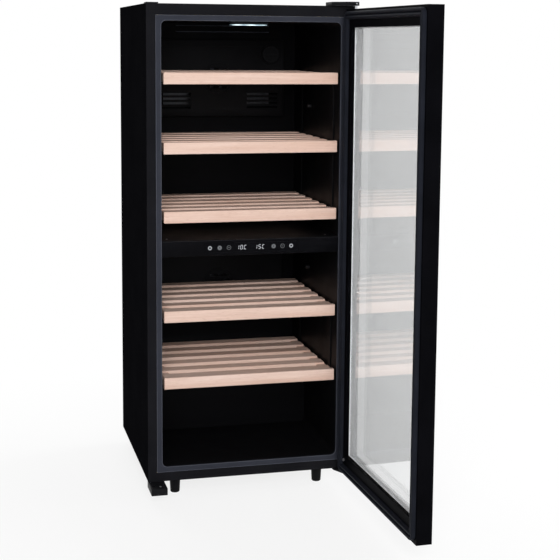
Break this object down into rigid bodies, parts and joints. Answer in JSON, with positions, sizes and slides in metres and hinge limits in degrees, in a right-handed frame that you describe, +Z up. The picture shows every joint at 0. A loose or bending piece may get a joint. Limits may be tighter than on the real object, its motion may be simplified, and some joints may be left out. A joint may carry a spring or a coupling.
{
  "type": "wine cooler",
  "caption": "Tall free-standing two-zone wine cooler with a hinged glass door, sliding wooden shelves, touch controls and levelling feet.",
  "frame": {"origin": "middle of the footprint on the floor, with the door open as modelled", "axes": "+Z up, +Y from the front of the cabinet to its rear, +X to the right as seen from the front; the door stands open along -Y"},
  "size_m": [0.6184, 1.1868, 1.4068],
  "materials": {
    "casing_paint": "satin black powder coat",
    "rigid_foam": "rigid foam, hidden",
    "liner_plastic": "matte black, with a blue-grey cast on the flange",
    "rear_sheet": "matte dark grey",
    "fascia_plastic": "semi-gloss black",
    "circuit_board": "green solder mask, hidden",
    "lamp_lens": "frosted, lit cool white",
    "rail_plastic": "matte black",
    "duct_plastic": "matte black",
    "fan_plastic": "matte black",
    "evaporator_aluminium": "dark coat",
    "probe_plastic": "grey",
    "zinc_plate": "zinc plated",
    "compressor_paint": "black enamel",
    "relay_plastic": "black",
    "tray_plastic": "grey",
    "drier_copper": "copper",
    "hinge_plastic": "satin black",
    "hinge_paint": "satin black",
    "pin_steel": "bright steel",
    "foot_plastic": "black",
    "beech": "pale beech, sealed",
    "door_paint": "satin black",
    "clear_glass": "clear",
    "tinted_glass": "lightly tinted",
    "spacer_plastic": "light grey",
    "gasket_rubber": "ribbed blue-grey",
    "peg_plastic": "white"
  },
  "bodies": {
    "cabinet": {"outer_casing": "casing_paint", "insulation_foam": "rigid_foam", "inner_liner": "liner_plastic", "zone_divider": "liner_plastic", "back_panel": "rear_sheet", "machine_cover": "rear_sheet", "control_fascia": "fascia_plastic", "display_window": "fascia_plastic", "control_board": "circuit_board", "upper_lamp": "lamp_lens", "lower_lamp": "lamp_lens", "upper_left_rail": "rail_plastic", "upper_right_rail": "rail_plastic", "lower_left_rail": "rail_plastic", "lower_right_rail": "rail_plastic", "upper_duct_cover": "duct_plastic", "lower_duct_cover": "duct_plastic", "charcoal_filter": "duct_plastic", "upper_fan_housing": "fan_plastic", "lower_fan_housing": "fan_plastic", "upper_evaporator": "evaporator_aluminium", "lower_evaporator": "evaporator_aluminium", "upper_temperature_probe": "probe_plastic", "lower_temperature_probe": "probe_plastic", "compressor_plate": "zinc_plate", "top_hinge_plate": "zinc_plate", "compressor": "compressor_paint", "condenser_coil": "compressor_paint", "start_relay": "relay_plastic", "power_inlet": "relay_plastic", "drip_tray": "tray_plastic", "filter_drier": "drier_copper", "top_hinge_cover": "hinge_plastic", "corner_cap": "hinge_plastic", "spare_hinge_block": "hinge_plastic", "bottom_hinge_plate": "hinge_paint", "top_hinge_pin": "pin_steel", "bottom_hinge_pin": "pin_steel"},
    "door": {"door_frame": "door_paint", "inner_glass": "clear_glass", "outer_glass": "tinted_glass", "glass_spacer": "spacer_plastic", "door_gasket": "gasket_rubber", "door_peg": "peg_plastic"},
    "shelf_1": {"shelf_1_front": "beech", "shelf_1_deck": "beech"},
    "shelf_2": {"shelf_2_front": "beech", "shelf_2_deck": "beech"},
    "shelf_3": {"shelf_3_front": "beech", "shelf_3_deck": "beech"},
    "shelf_4": {"shelf_4_front": "beech", "shelf_4_deck": "beech"},
    "shelf_5": {"shelf_5_front": "beech", "shelf_5_deck": "beech"},
    "upper_fan": {"upper_fan": "fan_plastic"},
    "lower_fan": {"lower_fan": "fan_plastic"},
    "front_left_foot": {"front_left_foot": "foot_plastic"},
    "front_right_foot": {"front_right_foot": "foot_plastic"},
    "rear_left_foot": {"rear_left_foot": "foot_plastic"},
    "rear_right_foot": {"rear_right_foot": "foot_plastic"}
  },
  "joints": [
    {"name": "door_hinge", "type": "hinge", "parent": "cabinet", "child": "door", "pos_m": [0.27584, -0.00792, 0], "axis": [0, 0, 1], "range_deg": [-91.6, 30]},
    {"name": "shelf_1_slide", "type": "slide", "parent": "cabinet", "child": "shelf_1", "axis": [0, -1, 0], "range_m": [0, 0.2]},
    {"name": "shelf_2_slide", "type": "slide", "parent": "cabinet", "child": "shelf_2", "axis": [0, -1, 0], "range_m": [0, 0.2]},
    {"name": "shelf_3_slide", "type": "slide", "parent": "cabinet", "child": "shelf_3", "axis": [0, -1, 0], "range_m": [0, 0.2]},
    {"name": "shelf_4_slide", "type": "slide", "parent": "cabinet", "child": "shelf_4", "axis": [0, -1, 0], "range_m": [0, 0.2]},
    {"name": "shelf_5_slide", "type": "slide", "parent": "cabinet", "child": "shelf_5", "axis": [0, -1, 0], "range_m": [0, 0.2]},
    {"name": "upper_fan_spin", "type": "hinge", "parent": "cabinet", "child": "upper_fan", "pos_m": [-0.01166, 0.50379, 1.18], "axis": [0, 1, 0], "continuous": true},
    {"name": "lower_fan_spin", "type": "hinge", "parent": "cabinet", "child": "lower_fan", "pos_m": [-0.01166, 0.50379, 0.5256], "axis": [0, 1, 0], "continuous": true},
    {"name": "front_left_foot_screw", "type": "slide", "parent": "cabinet", "child": "front_left_foot", "axis": [0, 0, -1], "range_m": [0, 0.012]},
    {"name": "front_right_foot_screw", "type": "slide", "parent": "cabinet", "child": "front_right_foot", "axis": [0, 0, -1], "range_m": [0, 0.012]},
    {"name": "rear_left_foot_screw", "type": "slide", "parent": "cabinet", "child": "rear_left_foot", "axis": [0, 0, -1], "range_m": [0, 0.012]},
    {"name": "rear_right_foot_screw", "type": "slide", "parent": "cabinet", "child": "rear_right_foot", "axis": [0, 0, -1], "range_m": [0, 0.012]}
  ]
}
